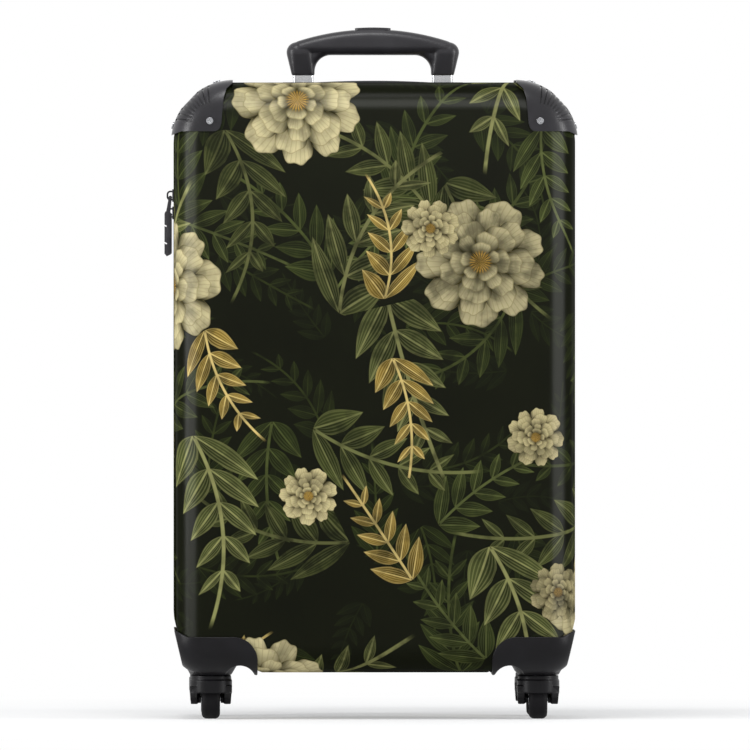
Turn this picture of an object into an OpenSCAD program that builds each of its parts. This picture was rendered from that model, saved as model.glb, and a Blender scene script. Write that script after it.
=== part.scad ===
// Hard-shell cabin suitcase: two zipped half shells with corner guards, four
// swivelling single-wheel casters and a two-stage telescopic trolley handle.
// Millimetres, +Z up, front face towards -Y, floor at Z = 0, centre at X = Y = 0.

/* [Case] */
// Width over the shell, side to side
case_w = 346; // [320:1:400]
// Depth over both half shells, front to back
case_d = 200; // [190:1:240]
// Height of the shell's underside above the floor
shell_bottom = 40.5; // [40:0.5:44]
// Height of the shell's top above the floor
shell_top = 549.5; // [520:0.5:620]
// Wall of the formed shell
shell_wall = 2.5; // [1.8:0.1:3]
// Corner radius at the top, seen from the front
top_corner_r = 52; // [46:1:60]
// Corner radius at the bottom, seen from the front
bottom_corner_r = 28; // [28:1:40]
// Radius of the rolled edge round the front and back faces
edge_r = 24; // [18:1:27]
// Gap between the two shell rims that the zip fills
zip_gap = 20; // [16:1:26]

/* [Corner guards] */
// Wall of the moulded guards
guard_wall = 2.4; // [1.8:0.1:3]
// Height of a top guard down the side
top_guard_h = 42; // [38:1:48]
// Reach of a top guard along the top edge
top_guard_w = 50; // [44:1:58]
// Depth of the guards from the face towards the zip
guard_depth = 66; // [58:1:70]
// Number of gills moulded in each top guard
gill_count = 9; // [7:1:11]
// Height of the bottom guard's top edge above the floor
foot_guard_top = 71.5; // [66:0.5:80]
// Reach of the bottom guard's tail along the bottom
foot_guard_w = 72; // [66:1:84]

/* [Casters] */
// Radius of each wheel
wheel_r = 17.5; // [15:0.1:17.6]
// Width of each wheel
wheel_w = 16; // [12:0.5:18]
// Distance of the swivel axis in from the side of the shell
caster_in_x = 31.6; // [30:0.1:40]
// Distance of the swivel axis in from the front or back face
caster_in_y = 42; // [40:0.5:48]
// Trail of the axle behind the swivel axis
trail = 8; // [5:0.5:9]
// Radius of the swivelling hood
hood_r = 18.4; // [18:0.1:20]
// Radius of the axle pin
axle_r = 2.5; // [2:0.1:3]
// Radius of the swivel stem
stem_r = 4; // [3:0.1:5]

/* [Trolley handle] */
// Distance between the two tubes, centre to centre
tube_span = 121; // [100:1:150]
// Distance of the tubes in from the back face
tube_in_y = 26; // [25:0.5:30]
// Width of the innermost tube, side to side
inner_tube_w = 18; // [14:0.5:20]
// Depth of the innermost tube, front to back
inner_tube_d = 11; // [9:0.5:13]
// Wall of every tube
tube_wall = 1; // [0.8:0.1:1.2]
// Length of tube that shows under the grip when stowed
tube_show = 7; // [4:0.5:8]
// Height of the grip over its feet
grip_h = 40; // [36:1:46]
// Radius of the grip's curved bar
grip_bar_r = 212; // [190:1:260]
// Width of the grip at its shoulders
grip_w = 150; // [143:1:156]
// Length of the release button
button_l = 31; // [24:1:40]

/* [Carry handle] */
// Length of the recessed carry handle in the top
carry_l = 124; // [110:1:140]
// Width of the carry handle's recess, front to back
recess_w = 30; // [26:1:38]
// Depth of the recess
recess_h = 20; // [16:1:26]

/* [Zip] */
// Width of the zip slider, front to back
slider_w = 10; // [8:0.5:12]
// Height of the upper slider's middle above the floor
slider_z = 452; // [300:1:470]
// Length of a slider
slider_l = 11; // [9:0.5:13]
// Length of a pull tab
pull_l = 24; // [20:1:50]

/* [Hidden] */
$fn = 64;

shell_colour = "#1b1e12";
black_plastic = "#2b2a2d";
rubber_black = "#161517";
silver = "#d6d6d8";
steel = "#b9bbbd";
tape_black = "#1a1a1a";
lining_grey = "#5a5a58";

// Clearances: between seated pieces, between sliding pieces and round pins
seat_gap = 0.1;
slide_gap = 0.35;
pin_gap = 0.05;
cut_over = 1;

half_w = case_w / 2;
mid_w = case_d / 2;
rim_w = mid_w - zip_gap / 2;

// The wheel bay cuts each bottom corner back along a sloping plane
bay_top = foot_guard_top + 0.5;
bay_run = foot_guard_w + 4;
bay_slope = atan((bay_top - shell_bottom) / bay_run);
// Above it the side leans in, so that the wheel housing stands flush with the shell
taper_rise = 15.5;
taper_top = foot_guard_top + taper_rise;
taper_slope = 13.2;

// Half-case frame: X across, Y up, Z inwards from the face towards the zip
module front_half()
    translate([0, -mid_w, 0]) mirror([0, 1, 0]) rotate([90, 0, 0]) children();
module rear_half()
    translate([0, mid_w, 0]) rotate([90, 0, 0]) children();
module side_of(side)
    mirror([side < 0 ? 1 : 0, 0, 0]) children();

// A quarter of a disc, in the corner between the face and the side
module quarter_disc(r) intersection() {
    circle(r);
    translate([0, -r]) square(r);
}

// One corner of the face outline, turned into its quadrant
module outline_corner(x_sign, top) {
    r = top ? top_corner_r : bottom_corner_r;
    y = top ? shell_top - r : shell_bottom + r;
    turn = top ? (x_sign > 0 ? 0 : 90) : (x_sign > 0 ? 270 : 180);
    translate([x_sign * (half_w - r), y, 0]) rotate([0, 0, turn]) children();
}

// A slab of the face outline, taken in by inset, between two depths
module outline_slab(inset, z0, z1) {
    r_t = top_corner_r;
    r_b = bottom_corner_r;
    h = z1 - z0;
    translate([-half_w + inset, shell_bottom + r_b, z0])
        cube([case_w - 2 * inset, shell_top - r_t - shell_bottom - r_b, h]);
    translate([-half_w + r_t, shell_top - r_t, z0]) cube([case_w - 2 * r_t, r_t - inset, h]);
    translate([-half_w + r_b, shell_bottom + inset, z0]) cube([case_w - 2 * r_b, r_b - inset, h]);
    for (s = [-1, 1], top = [false, true])
        outline_corner(s, top) translate([0, 0, z0])
            rotate_extrude(angle = 90) square([(top ? r_t : r_b) - inset, h]);
}

// The rolled edge between the face and the sides, as a ring of quarter rounds
module rolled_edge(inset) {
    q = edge_r - inset;
    for (s = [-1, 1], top = [false, true])
        outline_corner(s, top) rotate_extrude(angle = 90)
            translate([(top ? top_corner_r : bottom_corner_r) - edge_r, edge_r]) quarter_disc(q);
    side_h = shell_top - top_corner_r - shell_bottom - bottom_corner_r;
    side_y = shell_bottom + bottom_corner_r + side_h / 2;
    for (s = [-1, 1]) translate([0, side_y, 0]) side_of(s)
        translate([half_w - edge_r, 0, edge_r]) rotate([90, 0, 0])
            linear_extrude(side_h, center = true) quarter_disc(q);
    translate([0, shell_top - edge_r, edge_r]) rotate([90, 0, 90])
        linear_extrude(case_w - 2 * top_corner_r, center = true) quarter_disc(q);
    translate([0, shell_bottom + edge_r, edge_r]) rotate([0, 0, 180]) rotate([90, 0, 90])
        linear_extrude(case_w - 2 * bottom_corner_r, center = true) quarter_disc(q);
}

// A half case as a solid block, taken in by inset (negative grows it)
module half_block(inset, depth) {
    outline_slab(inset, edge_r, depth);
    outline_slab(edge_r, inset, edge_r);
    rolled_edge(inset);
}

// The space under the sloping planes of both wheel bays, grown by margin into the case
module wheel_bays(margin, z0, z1) for (s = [-1, 1]) side_of(s)
    translate([half_w, bay_top, z0]) rotate([0, 0, bay_slope])
        translate([-half_w, margin - half_w / 2, 0]) cube([case_w, half_w / 2, z1 - z0]);

// A half case with the lower ends of its sides leaning in
module tapered_block(inset, depth) difference() {
    half_block(inset, depth);
    for (s = [-1, 1]) side_of(s) translate([half_w, taper_top, -cut_over - edge_r])
        rotate([0, 0, -taper_slope]) translate([-inset, -2 * taper_top, 0])
            cube([half_w, 2 * taper_top + edge_r, depth + edge_r + 2 * cut_over]);
}

// The solid outside of a half case with its wheel bays cut back
module half_form(inset, depth) difference() {
    tapered_block(inset, depth);
    wheel_bays(inset, -cut_over - edge_r, depth + cut_over);
}

// Places of the three screws in a top guard: one in the face, two in the rounded corner
face_screw_in = 30.5;
face_screw_down = 33;
corner_screw_angles = [16, 74];
corner_screw_w = 52;
screw_head_r = 3;
screw_head_h = 1.3;
screw_shank_r = 1.4;
screw_hole_r = screw_shank_r + pin_gap;
guard_skin = seat_gap + guard_wall;
screw_l = guard_skin + shell_wall + 1;

module at_guard_screws() for (s = [-1, 1]) {
    translate([s * (half_w - face_screw_in), shell_top - face_screw_down, -guard_skin])
        children();
    for (a = corner_screw_angles) outline_corner(s, true)
        rotate([0, 0, s > 0 ? a : 90 - a])
            translate([top_corner_r + guard_skin, 0, corner_screw_w]) rotate([0, -90, 0]) children();
}

module screw() {
    difference() {
        translate([0, 0, -screw_head_h]) cylinder(h = screw_head_h, r = screw_head_r);
        for (turn = [0, 90]) rotate([0, 0, turn])
            translate([-screw_head_r * 0.6, -0.35, -screw_head_h - cut_over])
                cube([screw_head_r * 1.2, 0.7, cut_over + 0.8]);
    }
    cylinder(h = screw_l, r = screw_shank_r);
}

module screw_hole() translate([0, 0, -2])
    cylinder(h = screw_l + 5, r = screw_hole_r);

// One half shell, open towards the zip
module half_shell() difference() {
    half_form(0, rim_w);
    half_form(shell_wall, rim_w + cut_over);
    at_guard_screws() screw_hole();
}

module front_shell() color(shell_colour) front_half() half_shell();

module rear_shell() color(shell_colour) difference() {
    rear_half() half_shell();
    for (s = [-1, 1]) translate([s * tube_span / 2, tube_y, shell_top])
        cube([collar_hole_w, collar_hole_d, edge_r * 2], center = true);
    translate([0, recess_y, shell_top])
        cube([recess_l + 2 * seat_gap, recess_w + 2 * seat_gap, 4 * shell_wall], center = true);
}

// Top corner guard: a skin over the corner with a fan of gills round the face screw
gill_w = 1.7;
gill_depth = 1.2;
gill_start = 15;
gill_reach = 36;
gill_end_r = 1.1;
guard_round = 6;

module top_guard_region() difference() {
    polygon([
        [half_w - top_guard_w - 0.5, shell_top + edge_r],
        [half_w - top_guard_w - 0.5, shell_top],
        [half_w - top_guard_w * 0.9, shell_top - top_guard_h * 0.12],
        [half_w - top_guard_w * 0.854, shell_top - top_guard_h * 0.3],
        [half_w - top_guard_w * 0.826, shell_top - top_guard_h * 0.6],
        [half_w - top_guard_w * 0.8, shell_top - top_guard_h],
        [half_w - 6, shell_top - top_guard_h],
        [half_w + edge_r, shell_top - top_guard_h - 12]
    ]);
    translate([half_w - top_guard_w * 0.8, shell_top - top_guard_h]) difference() {
        square(2 * guard_round, center = true);
        translate([guard_round, guard_round]) circle(guard_round);
    }
}

module gill_fan() translate([half_w - face_screw_in, shell_top - face_screw_down, 0])
    for (i = [0 : gill_count - 1]) rotate([0, 0, 2 + i * 86 / (gill_count - 1)])
        translate([gill_start, 0, -edge_r]) {
            translate([0, -gill_w / 2, 0]) cube([top_corner_r, gill_w, edge_r + gill_reach]);
            cylinder(h = edge_r, r = gill_end_r, $fn = 24);
        }

module top_guard() difference() {
    intersection() {
        half_block(-guard_skin, guard_depth);
        translate([0, 0, -edge_r]) linear_extrude(guard_depth + edge_r) top_guard_region();
    }
    half_block(-seat_gap, guard_depth + cut_over);
    difference() {
        gill_fan();
        half_block(gill_depth - guard_skin, guard_depth + cut_over);
    }
    at_guard_screws() screw_hole();
}

module case_half(face) {
    if (face < 0) front_half() children();
    else rear_half() children();
}
module top_guard_at(side, face) color(black_plastic) case_half(face) side_of(side) top_guard();

// Wheel housing: a skin over the bottom corner that gathers into a round neck
neck_r = 17.7;
neck_bottom = 2 * wheel_r + 3;
neck_h = 4;
caster_u = half_w - caster_in_x;
foot_round_r = 21;
arch_r = 13.8;
arch_u = half_w - foot_guard_w + 15.4;
arch_v = shell_bottom - 7.7;
body_tail = 16.5;
body_inner = half_w - foot_guard_w + body_tail;
body_outer = caster_u + neck_r + 5.5;
loft_r = 14;
body_flat = shell_bottom + 8.5;

module foot_guard_region() difference() {
    union() {
        translate([half_w - foot_guard_w + foot_round_r, shell_bottom - 3])
            square([foot_guard_w - foot_round_r + edge_r, foot_guard_top - shell_bottom + 3]);
        translate([half_w - foot_guard_w, shell_bottom - 3])
            square([foot_round_r + 1, foot_guard_top - foot_round_r - shell_bottom + 3]);
        translate([half_w - foot_guard_w + foot_round_r, foot_guard_top - foot_round_r])
            circle(foot_round_r);
        polygon([
            [half_w - 12, foot_guard_top - 1],
            [half_w + edge_r, foot_guard_top - 1],
            [half_w + edge_r, foot_guard_top + 14],
            [half_w - 2, foot_guard_top + 5],
            [half_w - 12, foot_guard_top]
        ]);
    }
    translate([arch_u, arch_v]) circle(arch_r);
}

module neck_loft() hull() {
    translate([caster_u, neck_bottom, caster_in_y]) rotate([-90, 0, 0])
        cylinder(h = neck_h, r = neck_r, $fn = 48);
    for (u = [body_inner + loft_r, body_outer - loft_r], w = [4 + loft_r, guard_depth - loft_r])
        translate([u, body_flat, w]) rotate([-90, 0, 0]) cylinder(h = 0.6, r = loft_r, $fn = 32);
}

module wheel_housing() difference() {
    union() {
        intersection() {
            tapered_block(-guard_skin, guard_depth);
            union() {
                difference() {
                    translate([0, 0, -edge_r]) linear_extrude(guard_depth + edge_r)
                        foot_guard_region();
                    tapered_block(-seat_gap, guard_depth + cut_over);
                }
                translate([body_inner, body_flat, 4]) cube([foot_guard_w, edge_r, guard_depth - 4]);
            }
        }
        neck_loft();
    }
    half_form(-seat_gap, guard_depth + 2 * edge_r);
    translate([caster_u, 0, caster_in_y]) rotate([-90, 0, 0])
        cylinder(h = stem_top + 0.5, r = stem_r + pin_gap);
}

module wheel_housing_at(side, face) color(black_plastic)
    case_half(face) side_of(side) wheel_housing();

// Zip: an outline round the rim that follows the wheel bays with rounded turns
bay_round_r = 32;
bottom_round_r = 40;
bay_turn = 90 - bay_slope;
bay_tangent = bay_round_r * tan(bay_turn / 2);
bottom_tangent = bottom_round_r * tan(bay_slope / 2);
zip_turns = [
    [[half_w - top_corner_r, shell_top - top_corner_r], top_corner_r, 90, 0],
    [[half_w - bay_round_r, bay_top + bay_tangent], bay_round_r, 0, -bay_turn],
    [[half_w - bay_run - bottom_tangent, shell_bottom + bottom_round_r], bottom_round_r, -bay_turn, -90]
];

turn_steps = 12;

// The outline is a fine polygon, so that tape and chain stay one closed band
function turn_point(turn, k, inset) =
    let (angle = turn[2] + (turn[3] - turn[2]) * k / turn_steps)
    turn[0] + (turn[1] - inset) * [cos(angle), sin(angle)];
function right_points(inset) = [
    for (turn = zip_turns, k = [0 : turn_steps]) turn_point(turn, k, inset)
];
function left_points(inset) = [
    for (i = [len(right_points(inset)) - 1 : -1 : 0])
        [-right_points(inset)[i][0], right_points(inset)[i][1]]
];

module zip_outline(inset) polygon(concat(right_points(inset), left_points(inset)));

// A band round the zip outline between two insets and two depths
module zip_band(outer_inset, inner_inset, z0, z1) translate([0, 0, z0])
    linear_extrude(z1 - z0) difference() {
        zip_outline(outer_inset);
        zip_outline(inner_inset);
    }

tape_t = 1.2;
tape_in = shell_wall + seat_gap;
tape_lap = 5;
zip_split = 0.3;
chain_w = 2.8;
chain_in = 0.8;

module zip_tape() zip_band(tape_in, tape_in + tape_t, rim_w - tape_lap, mid_w - zip_split);

// The chain runs round three sides; the right side is the cloth hinge
module zip_chain() difference() {
    zip_band(chain_in, tape_in, mid_w - zip_split - chain_w, mid_w - zip_split);
    translate([half_w - bay_round_r, bay_top + bay_tangent + 2, 0])
        cube([2 * bay_round_r, shell_top - top_corner_r - bay_top - bay_tangent - 4, case_d]);
}

// Slider on the left run of the chain: a plate with a flange behind and a bridge
plate_t = 2;
plate_in_x = -half_w + chain_in - slide_gap;
plate_out_x = plate_in_x - plate_t;
flange_y = zip_split + chain_w + slide_gap;
bridge_out = 4.9;
bridge_l = 8.6;
bridge_t = 1.5;
bridge_w = 2.4;
slider_step = 15;
lower_slider_z = slider_z - slider_step;

module zip_slider(z) color(black_plastic) translate([0, 0, z]) {
    translate([plate_out_x, -slider_w / 2, -slider_l / 2]) cube([plate_t, slider_w, slider_l]);
    translate([plate_out_x, flange_y, -slider_l / 2])
        cube([plate_t + 1.6, slider_w / 2 - flange_y, slider_l]);
    translate([plate_out_x, 0, 0]) rotate([90, 0, 0]) linear_extrude(bridge_w, center = true)
        difference() {
            bridge_half(0);
            bridge_half(bridge_t);
        }
}
module bridge_half(inset) {
    r = bridge_out - 1.6;
    translate([-bridge_out + r, -bridge_l / 2 + inset]) square([bridge_out - r, bridge_l - 2 * inset]);
    translate([-bridge_out + inset, -bridge_l / 2 + r]) square([r, bridge_l - 2 * r]);
    for (s = [-1, 1]) translate([-bridge_out + r, s * (bridge_l / 2 - r)]) circle(r - inset);
}

// Pull tab: a pin under the bridge, a short arm and a moulded tab with a slanted notch
pull_pin_r = 0.8;
pull_pin_x = plate_out_x - 1.7;
pull_pin_down = 1.7;
pull_side = bridge_w / 2 + 2 * slide_gap;
pull_t = 3;
pull_w = 6.4;
pull_drop = 12;
pull_x = plate_out_x - slide_gap;

module zip_pull(z, side) color(black_plastic) translate([0, 0, z - pull_pin_down])
    mirror([0, side > 0 ? 1 : 0, 0]) {
        translate([pull_pin_x, bridge_w / 2 + 0.2, 0]) rotate([90, 0, 0])
            cylinder(h = bridge_w / 2 + 0.2 + pull_side + 0.5, r = pull_pin_r, $fn = 24);
        translate([0, -pull_side, 0]) rotate([90, 0, 0]) linear_extrude(pull_t * 0.6) {
            translate([pull_pin_x, 0]) circle(1.6);
            polygon([
                [pull_pin_x + 1.3, 0], [pull_pin_x - 1.4, 0],
                [pull_x - pull_w * 0.8, -pull_drop - 1], [pull_x - pull_w * 0.2, -pull_drop - 1]
            ]);
        }
        translate([0, -pull_side, -pull_drop]) rotate([90, 0, 0]) linear_extrude(pull_t) difference() {
            polygon([
                [pull_x - 1.5, 0], [pull_x - pull_w + 0.8, 0],
                [pull_x - pull_w, -2], [pull_x - pull_w, -pull_l * 0.9],
                [pull_x - pull_w + 2, -pull_l], [pull_x - 1, -pull_l * 0.93],
                [pull_x, -pull_l * 0.88], [pull_x, -3]
            ]);
            translate([pull_x - pull_w, -pull_l * 0.5]) rotate([0, 0, -28])
                square([pull_w * 0.75, 1.1], center = true);
        }
    }

// Trolley tubes: three nested sections on each side
tube_y = mid_w - tube_in_y;
tube_round = 2.5;
nest_step = 2 * (slide_gap + tube_wall);
middle_tube_w = inner_tube_w + nest_step;
middle_tube_d = inner_tube_d + nest_step;
outer_tube_w = middle_tube_w + nest_step;
outer_tube_d = middle_tube_d + nest_step;
outer_tube_z = shell_bottom + 14;
middle_tube_z = outer_tube_z + 4;
inner_tube_z = middle_tube_z + 4;
collar_rise = 0.9;
grip_bottom = shell_top + tube_show;
socket_h = 17;

module rounded_bar(w, d, h, r) {
    translate([-w / 2, -d / 2 + r, 0]) cube([w, d - 2 * r, h]);
    translate([-w / 2 + r, -d / 2, 0]) cube([w - 2 * r, d, h]);
    for (x = [-1, 1], y = [-1, 1]) translate([x * (w / 2 - r), y * (d / 2 - r), 0])
        cylinder(h = h, r = r, $fn = 32);
}

module tube(w, d, z0, z1) translate([0, tube_y, z0]) difference() {
    rounded_bar(w, d, z1 - z0, tube_round);
    translate([0, 0, -cut_over])
        rounded_bar(w - 2 * tube_wall, d - 2 * tube_wall, z1 - z0 + 2 * cut_over, tube_round - tube_wall);
}

module outer_tube() color(steel) tube(outer_tube_w, outer_tube_d, outer_tube_z, shell_top - 1.5);
module middle_tube() color(steel) tube(middle_tube_w, middle_tube_d, middle_tube_z, shell_top + collar_rise - 0.4);
module inner_tube() color(silver)
    tube(inner_tube_w, inner_tube_d, inner_tube_z, grip_bottom + socket_h - seat_gap);
module at_tube(s) translate([s * tube_span / 2, 0, 0]) children();

// Linings: thin skins inside the shells; a board covers the tubes in the rear half
lining_t = 1;
lining_in = shell_wall + 0.3;
lining_end = rim_w - tape_lap - 0.5;
cover_t = 1.5;
cover_w = tube_in_y + outer_tube_d / 2 + 2.5;

module lining_skin(depth) difference() {
    half_form(lining_in, depth);
    half_form(lining_in + lining_t, depth + cut_over);
}

module lining_front() color(lining_grey) front_half() difference() {
    lining_skin(lining_end);
    at_guard_screws() translate([0, 0, -cut_over]) cylinder(h = 2 * screw_l, r = screw_head_r);
}

// Room that the lining and the cover leave round the carry handle's cup
cup_clear = 4;

module cup_clearance() translate([0, recess_y, shell_top])
    cube([recess_l + 2 * cup_clear, recess_w + 2 * cup_clear, 2 * recess_h + 2], center = true);

module lining_rear() color(lining_grey) difference() {
    rear_half() intersection() {
        lining_skin(lining_end);
        translate([-half_w, shell_bottom, cover_w]) cube([case_w, shell_top, case_d]);
    }
    cup_clearance();
    rear_half() at_guard_screws() translate([0, 0, -cut_over]) cylinder(h = 2 * screw_l, r = screw_head_r);
}

module trolley_cover() color(lining_grey) difference() {
    rear_half() intersection() {
        half_form(lining_in + lining_t + seat_gap, lining_end);
        translate([-half_w, shell_bottom, cover_w]) cube([case_w, shell_top, cover_t]);
    }
    cup_clearance();
}

// Collar let into the shell's top, round the outer tube's end
collar_wall = 2;
collar_w = outer_tube_w + 2 * collar_wall;
collar_d = outer_tube_d + 2 * collar_wall;
collar_hole_w = collar_w + 2 * seat_gap;
collar_hole_d = collar_d + 2 * seat_gap;
collar_skirt = 14;
collar_lip = 4;

module tube_collar(s) color(black_plastic) difference() {
    at_tube(s) translate([0, tube_y, 0]) {
        translate([0, 0, shell_top - collar_skirt])
            rounded_bar(collar_w, collar_d, collar_skirt + collar_rise, 3);
        translate([0, 0, shell_top - 4])
            rounded_bar(collar_w + 2 * collar_lip, collar_d + collar_lip, 4 + collar_rise, 5);
    }
    difference() {
        rear_half() half_block(-seat_gap, rim_w);
        at_tube(s) translate([0, tube_y, shell_top - collar_skirt - cut_over])
            rounded_bar(collar_w, collar_d, collar_skirt * 2, 3);
    }
    at_tube(s) translate([0, tube_y, shell_top - collar_skirt - cut_over]) {
        rounded_bar(outer_tube_w + 0.1, outer_tube_d + 0.1, collar_skirt + cut_over - 1.4, tube_round);
        rounded_bar(middle_tube_w + 2 * slide_gap, middle_tube_d + 2 * slide_gap,
            collar_skirt * 2, tube_round);
    }
}

// Foot bracket that holds the outer tube's lower end to the back wall
foot_w = outer_tube_w + 8;
foot_h = 22;
foot_floor = 3;

module tube_foot(s) color(black_plastic) difference() {
    rear_half() intersection() {
        half_form(shell_wall + seat_gap, rim_w);
        translate([s * tube_span / 2 - foot_w / 2, outer_tube_z - foot_floor, 0])
            cube([foot_w, foot_h, tube_in_y + outer_tube_d / 2 + 2]);
    }
    at_tube(s) translate([0, tube_y, outer_tube_z])
        rounded_bar(outer_tube_w + 0.1, outer_tube_d + 0.1, foot_h, tube_round);
}

// Grip: a curved bar between two feet, with a release button in the middle of its top
grip_top = grip_bottom + grip_h;
grip_d = 24;
bar_h = 34;
bar_t = 22.5;
bar_round = 8;
bar_angle = asin((grip_w / 2 - 9) / grip_bar_r);
bar_centre_z = grip_top - grip_bar_r;
shoulder_r = 9;
shoulder_z = bar_centre_z + sqrt(grip_bar_r * grip_bar_r - pow(grip_w / 2 - shoulder_r, 2)) - shoulder_r - 0.6;
foot_base_w = inner_tube_w + 1.8;
opening_r = 14;
opening_top = grip_top - bar_t;
opening_half = tube_span / 2 - inner_tube_w / 2 - 1;
fillet_t = 12;
fillet_d = grip_d - 5;
fillet_round = 6;
button_w = 12;
button_proud = 1.6;
button_h = 8;
button_pocket = 11;

module bar_section() {
    translate([grip_bar_r - bar_h, -grip_d / 2 + bar_round]) square([bar_h, grip_d - 2 * bar_round]);
    translate([grip_bar_r - bar_h + bar_round, -grip_d / 2]) square([bar_h - 2 * bar_round, grip_d]);
    for (x = [bar_round, bar_h - bar_round], y = [-1, 1])
        translate([grip_bar_r - bar_h + x, y * (grip_d / 2 - bar_round)]) circle(bar_round);
}

// The straight underside of the bar, rounded at its front and back edges
module bar_under() rotate([90, 0, 90]) linear_extrude(grip_w, center = true) {
    translate([-grip_d / 2, opening_top + bar_round]) square([grip_d, grip_h]);
    translate([-grip_d / 2 + bar_round, opening_top]) square([grip_d - 2 * bar_round, grip_h]);
    for (y = [-1, 1]) translate([y * (grip_d / 2 - bar_round), opening_top + bar_round]) circle(bar_round);
}

// Section of the rounded corner between the bar and a foot
module fillet_section() translate([opening_r, 0]) {
    translate([0, -fillet_d / 2 + fillet_round]) square([fillet_t, fillet_d - 2 * fillet_round]);
    translate([fillet_round, -fillet_d / 2]) square([fillet_t - fillet_round, fillet_d]);
    for (y = [-1, 1]) translate([fillet_round, y * (fillet_d / 2 - fillet_round)]) circle(fillet_round);
}

module grip_foot() hull() {
    for (x = [-1, 1], y = [-1, 1])
        translate([tube_span / 2 + x * (foot_base_w / 2 - 4), y * (grip_d / 2 - 6.5), 0])
            cylinder(h = 1, r = 4, $fn = 32);
    for (x = [opening_half + shoulder_r, grip_w / 2 - shoulder_r], y = [-1, 1])
        translate([x, y * (grip_d / 2 - shoulder_r), shoulder_z - grip_bottom])
            sphere(r = shoulder_r, $fn = 32);
}

module trolley_grip() color(black_plastic) translate([0, tube_y, 0]) difference() {
    union() {
        intersection() {
            translate([0, 0, bar_centre_z]) rotate([90, 0, 0]) rotate([0, 0, 90 - bar_angle])
                rotate_extrude(angle = 2 * bar_angle, $fn = 96) bar_section();
            bar_under();
        }
        for (s = [-1, 1]) side_of(s) {
            translate([0, 0, grip_bottom]) grip_foot();
            translate([opening_half - opening_r, 0, opening_top - opening_r]) rotate([90, 0, 0])
                rotate_extrude(angle = 90) fillet_section();
        }
    }
    for (s = [-1, 1]) translate([s * tube_span / 2, 0, grip_bottom - cut_over])
        rounded_bar(inner_tube_w + 0.1, inner_tube_d + 0.1, socket_h + cut_over, tube_round);
    translate([0, 0, grip_top - button_pocket])
        rounded_bar(button_l + 2 * slide_gap, button_w + 2 * slide_gap, grip_h, 4);
}

module release_button() color(black_plastic) translate([0, tube_y, 0]) intersection() {
    translate([0, 0, grip_top - button_h]) rounded_bar(button_l, button_w, grip_h, 3.65);
    translate([0, 0, bar_centre_z]) rotate([90, 0, 0])
        cylinder(h = grip_d, r = grip_bar_r + button_proud, center = true, $fn = 360);
}

// Recessed carry handle: a cup in the top, a bail that folds flat into it and two pins
recess_y = (zip_gap / 2 + tape_lap + tube_y - collar_d / 2) / 2;
cup_wall = 2;
bail_gap = 0.9;
recess_l = carry_l + 2 * bail_gap + 2 * cup_wall;
cup_flange = 3;
bail_eye_r = 4.5;
bail_pivot_y = recess_y - recess_w / 2 + cup_wall + bail_gap + bail_eye_r;
bail_pivot_z = shell_top - 6;
bail_bar_w = 10;
bail_bar_y = recess_y + recess_w / 2 - cup_wall - 2 - bail_bar_w;
bail_rise = 2.2;
bail_arch_r = (carry_l * carry_l / 4 + bail_rise * bail_rise) / (2 * bail_rise);
bail_arm = 8;
bail_pin_r = 2;

module carry_recess() color(black_plastic) difference() {
    union() {
        translate([-recess_l / 2, recess_y - recess_w / 2, shell_top - recess_h])
            cube([recess_l, recess_w, recess_h]);
        translate([-recess_l / 2 - cup_flange, recess_y - recess_w / 2,
            shell_top - shell_wall - seat_gap - 1.5])
            cube([recess_l + 2 * cup_flange, recess_w, 1.5]);
    }
    translate([-recess_l / 2 + cup_wall, recess_y - recess_w / 2 + cup_wall,
        shell_top - recess_h + cup_wall])
        cube([recess_l - 2 * cup_wall, recess_w - 2 * cup_wall, recess_h]);
    translate([0, bail_pivot_y, bail_pivot_z]) rotate([0, 90, 0])
        cylinder(h = recess_l + 2, r = bail_pin_r, center = true);
}

module carry_handle() color(black_plastic) difference() {
    union() {
        intersection() {
            translate([-carry_l / 2, bail_bar_y, bail_pivot_z - bail_eye_r])
                cube([carry_l, bail_bar_w, recess_h]);
            translate([0, 0, shell_top + bail_rise - bail_arch_r]) rotate([-90, 0, 0])
                cylinder(h = case_d, r = bail_arch_r, $fn = 1024);
        }
        for (s = [-1, 1]) side_of(s) translate([carry_l / 2 - bail_arm, 0, 0]) {
            translate([0, bail_pivot_y, bail_pivot_z]) rotate([0, 90, 0])
                cylinder(h = bail_arm, r = bail_eye_r);
            translate([0, bail_pivot_y, bail_pivot_z - bail_eye_r])
                cube([bail_arm, bail_bar_y - bail_pivot_y + 1, 2 * bail_eye_r]);
        }
    }
    translate([0, bail_pivot_y, bail_pivot_z]) rotate([0, 90, 0])
        cylinder(h = case_w, r = bail_pin_r + pin_gap, center = true);
}

module carry_pins() color(steel) for (s = [-1, 1]) side_of(s)
    translate([carry_l / 2 - bail_arm + 2, bail_pivot_y, bail_pivot_z]) rotate([0, 90, 0])
        cylinder(h = recess_l / 2 - carry_l / 2 + bail_arm - 2 + 0.8, r = bail_pin_r);

// Caster: hood with two cheeks, stem, axle and wheel, trailing towards +Y
fork_top = neck_bottom - 0.4;
hood_step = 4;
hood_bottom = wheel_r + 5;
cheek_in = wheel_w / 2 + 3.4;
cheek_bottom_w = hood_r - 2;
cheek_boss_r = 5;
clear_r = wheel_r + 1.1;
stem_top = 55;

module at_caster(side, face) translate([side * caster_u, face * (mid_w - caster_in_y), 0]) children();

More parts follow.
